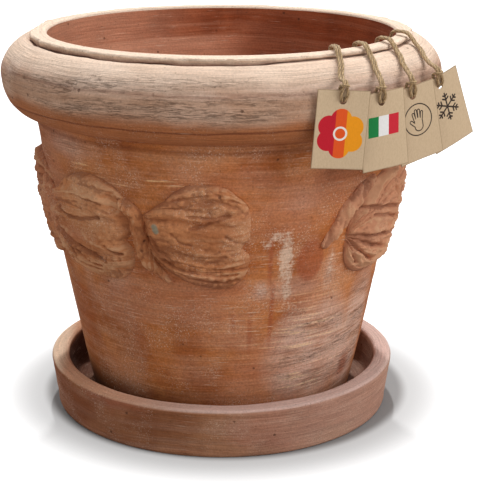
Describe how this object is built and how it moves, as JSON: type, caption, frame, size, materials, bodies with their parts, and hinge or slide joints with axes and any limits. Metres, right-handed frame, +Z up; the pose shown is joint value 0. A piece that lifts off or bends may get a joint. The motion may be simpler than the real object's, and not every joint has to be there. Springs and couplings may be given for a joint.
{
  "type": "flower pot",
  "caption": "Round thrown terracotta flower pot with a rolled rim, pressed leaf festoons round the wall, a loose saucer and kraft swing tags on jute twine over the rim.",
  "frame": {"origin": "on the floor, under the middle of the saucer", "axes": "+Z up along the pot's axis; -Y is the front, where the swing tags hang to the right"},
  "size_m": [0.4178, 0.4, 0.359],
  "materials": {
    "pot_clay": "unglazed fired clay, brushed, with pale bloom",
    "saucer_clay": "unglazed fired clay, smoothed",
    "relief_clay": "unglazed fired clay, pressed relief",
    "kraft_card": "uncoated kraft card, printed",
    "jute_twine": "twisted jute",
    "glue": "dry glue"
  },
  "bodies": {
    "saucer": {"saucer": "saucer_clay"},
    "pot": {"pot_body": "pot_clay", "festoon_a_leaf_1": "relief_clay", "festoon_a_leaf_2": "relief_clay", "festoon_a_leaf_3": "relief_clay", "festoon_a_leaf_4": "relief_clay", "festoon_b_leaf_1": "relief_clay", "festoon_b_leaf_2": "relief_clay", "festoon_b_leaf_3": "relief_clay", "festoon_b_leaf_4": "relief_clay", "festoon_a_stem_1": "relief_clay", "festoon_a_stem_2": "relief_clay", "festoon_a_stem_3": "relief_clay", "festoon_a_stem_4": "relief_clay", "festoon_b_stem_1": "relief_clay", "festoon_b_stem_2": "relief_clay", "festoon_b_stem_3": "relief_clay", "festoon_b_stem_4": "relief_clay", "tag_twine_1": "jute_twine", "tag_twine_2": "jute_twine", "tag_twine_3": "jute_twine", "tag_twine_4": "jute_twine", "glue_dab_1": "glue", "glue_dab_2": "glue", "glue_dab_3": "glue", "glue_dab_4": "glue"},
    "card_1": {"tag_1": "kraft_card"},
    "card_2": {"tag_2": "kraft_card"},
    "card_3": {"tag_3": "kraft_card"},
    "card_4": {"tag_4": "kraft_card"}
  },
  "joints": [
    {"name": "pot_lift", "type": "slide", "parent": "saucer", "child": "pot", "axis": [0, 0, 1], "range_m": [0, 0.15]},
    {"name": "tag_1_swing", "type": "hinge", "parent": "pot", "child": "card_1", "pos_m": [0.09581, -0.18405, 0.3215], "axis": [0.1736, -0.9848, 0], "range_deg": [-20, 20]},
    {"name": "tag_2_swing", "type": "hinge", "parent": "pot", "child": "card_2", "pos_m": [0.12855, -0.16161, 0.316], "axis": [0.4067, -0.9135, 0], "range_deg": [-20, 20]},
    {"name": "tag_3_swing", "type": "hinge", "parent": "pot", "child": "card_3", "pos_m": [0.15653, -0.13849, 0.3165], "axis": [0.4695, -0.8829, 0], "range_deg": [-20, 20]},
    {"name": "tag_4_swing", "type": "hinge", "parent": "pot", "child": "card_4", "pos_m": [0.1836, -0.106, 0.3195], "axis": [0.5299, -0.848, 0], "range_deg": [-20, 20]}
  ]
}
